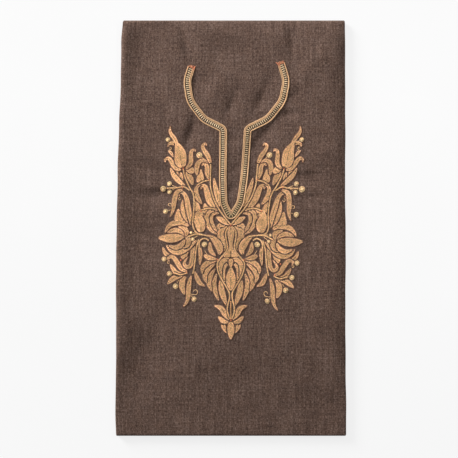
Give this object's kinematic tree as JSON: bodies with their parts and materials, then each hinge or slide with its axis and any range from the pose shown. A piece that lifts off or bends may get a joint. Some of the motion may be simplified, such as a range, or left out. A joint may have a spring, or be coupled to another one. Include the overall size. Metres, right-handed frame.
{
  "type": "unstitched pheran cloth length, folded flat, with a braided and embroidered neckline",
  "caption": "Folded length of brown wool suiting for a pheran, face up, with a braid-edged neck and slit and a symmetric field of tan chain-stitch embroidery.",
  "frame": {"origin": "middle of the box's underside", "axes": "+X across the cloth to the wearer's left, +Y along it to the neck end, +Z out of the cloth's face"},
  "size_m": [0.46, 0.832, 0.0202],
  "materials": {
    "wool": "matte twill weave, heathered brown",
    "inner_wool": "matte twill weave, heathered brown",
    "braid": "twisted cords with cream ladder bars over a dark ground",
    "thread": "soft sheen of chain-stitched silk-like thread, golden tan"
  },
  "bodies": {
    "root": {"cloth": "wool", "inner_layers": "inner_wool", "neck_braid": "braid", "neck_embroidery": "thread"}
  },
  "joints": []
}
